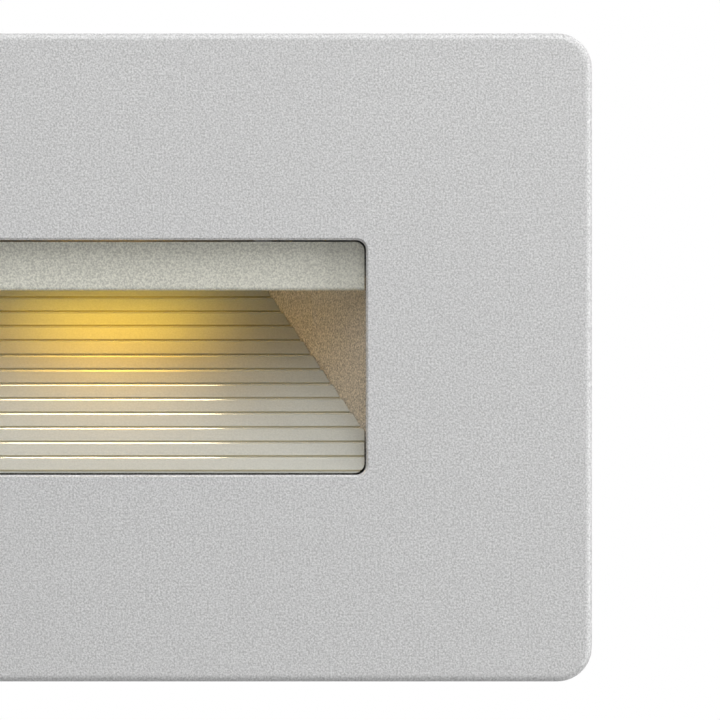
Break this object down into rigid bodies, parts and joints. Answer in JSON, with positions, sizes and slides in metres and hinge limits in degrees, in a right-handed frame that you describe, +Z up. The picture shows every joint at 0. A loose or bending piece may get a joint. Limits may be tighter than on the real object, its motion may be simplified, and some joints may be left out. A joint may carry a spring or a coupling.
{
  "type": "step light",
  "caption": "Recessed wall step light: flat face plate, glare hood and a stepped reflector in a splayed chamber, with driver housing.",
  "frame": {"origin": "middle of the wall surface behind the face plate, on the line of the two wall box screws", "axes": "+X to the viewer's right, +Y into the wall, +Z up; the face plate's front faces -Y"},
  "size_m": [0.1142, 0.0525, 0.0762],
  "materials": {
    "plate_paint": "sandy powder coat",
    "chamber_paint": "sandy powder coat",
    "hood_paint": "sandy powder coat",
    "reflector_paint": "smooth satin paint",
    "cast_housing": "as cast",
    "zinc_steel": "zinc plated sheet",
    "screw_steel": "zinc plated",
    "black_screw": "black oxide",
    "ground_green": "green plated",
    "foam": "closed-cell foam",
    "grommet_rubber": "soft rubber",
    "thermal_rubber": "thermal pad",
    "frosted_lens": "frosted",
    "led_phosphor": "phosphor",
    "white_board": "white solder mask",
    "bare_aluminium": "extruded",
    "lead_jacket": "insulation",
    "green_board": "solder mask",
    "ferrite": "sintered",
    "yellow_tape": "tape",
    "capacitor_sleeve": "shrink sleeve",
    "chip_plastic": "moulded",
    "terminal_plastic": "moulded",
    "blue_disc": "dipped",
    "resistor_body": "lacquer"
  },
  "bodies": {
    "fixture": {"mounting_frame": "zinc_steel", "frame_screws": "screw_steel", "housing": "cast_housing", "rear_gasket": "foam", "rear_cover": "cast_housing", "rear_cover_screws": "screw_steel", "lead_grommet": "grommet_rubber", "ground_screw": "ground_green", "step_reflector": "reflector_paint", "reflector_screws": "screw_steel", "light_chamber": "chamber_paint", "glare_hood": "hood_paint", "hood_screws": "screw_steel", "lens": "frosted_lens", "lens_gasket": "foam", "led_emitter": "led_phosphor", "led_board": "white_board", "led_board_screws": "screw_steel", "thermal_pad": "thermal_rubber", "heat_sink": "bare_aluminium", "led_lead": "lead_jacket", "driver_board": "green_board", "driver_board_screws": "screw_steel", "transformer_core": "ferrite", "transformer_winding": "yellow_tape", "large_capacitor": "capacitor_sleeve", "small_capacitor": "capacitor_sleeve", "driver_chips": "chip_plastic", "output_terminal": "terminal_plastic", "input_terminal": "terminal_plastic", "surge_disc": "blue_disc", "fuse_resistor": "resistor_body"},
    "face": {"face_plate": "plate_paint", "wall_gasket": "foam", "set_screws": "black_screw"}
  },
  "joints": [
    {"name": "face_plate_pull", "type": "slide", "parent": "fixture", "child": "face", "axis": [0, -1, 0], "range_m": [0, 0.03]}
  ]
}
